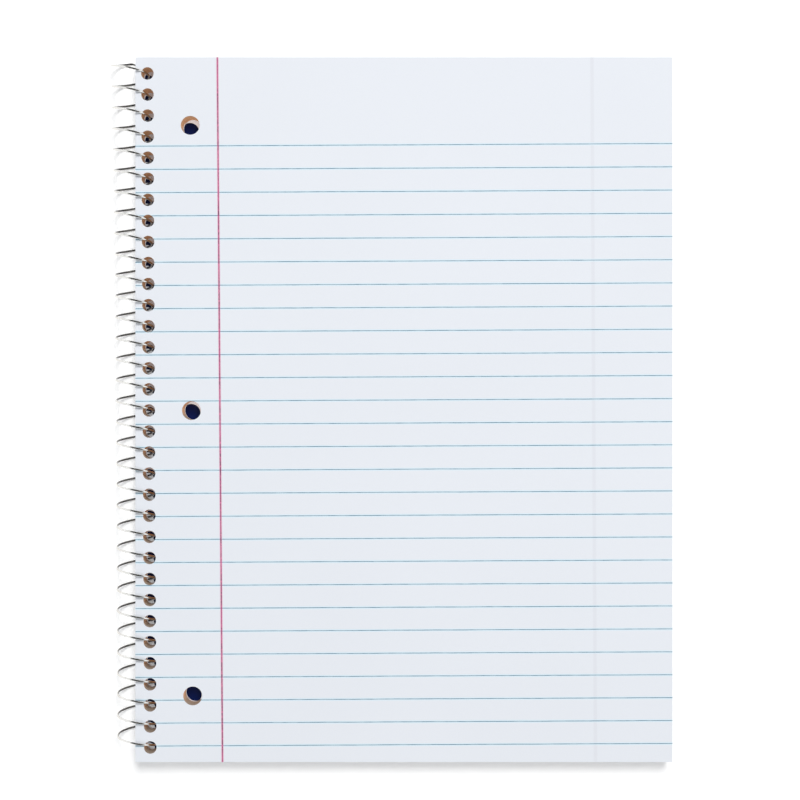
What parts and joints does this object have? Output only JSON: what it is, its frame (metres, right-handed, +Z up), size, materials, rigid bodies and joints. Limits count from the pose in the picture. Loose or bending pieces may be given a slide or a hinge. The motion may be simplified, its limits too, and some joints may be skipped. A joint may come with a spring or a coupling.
{
  "type": "open spiral notebook",
  "caption": "Spiral notebook open at a wide ruled page, bound by a wire coil, with its front cover folded round underneath.",
  "frame": {"origin": "bottom centre of the whole notebook's box, level with the underside of the coil", "axes": "+X across the page away from the coil, +Y up the page towards its head, +Z up from the table"},
  "size_m": [0.212, 0.2694, 0.0148],
  "materials": {
    "sheets": "matt writing paper with blue ruling and a red margin line",
    "board": "plain chipboard, matt, pale on its inner face",
    "cover_card": "navy printed card with a thin gloss coat outside, pale inside",
    "wire": "bright drawn steel wire"
  },
  "bodies": {
    "book": {"page_block": "sheets", "back_cover": "board", "wire_coil": "wire"},
    "cover": {"front_cover": "cover_card"}
  },
  "joints": [
    {"name": "front_cover_turn", "type": "hinge", "parent": "book", "child": "cover", "pos_m": [-0.09864, 0.00089, 0.0074], "axis": [0, 1, 0], "range_deg": [0, 120]}
  ]
}
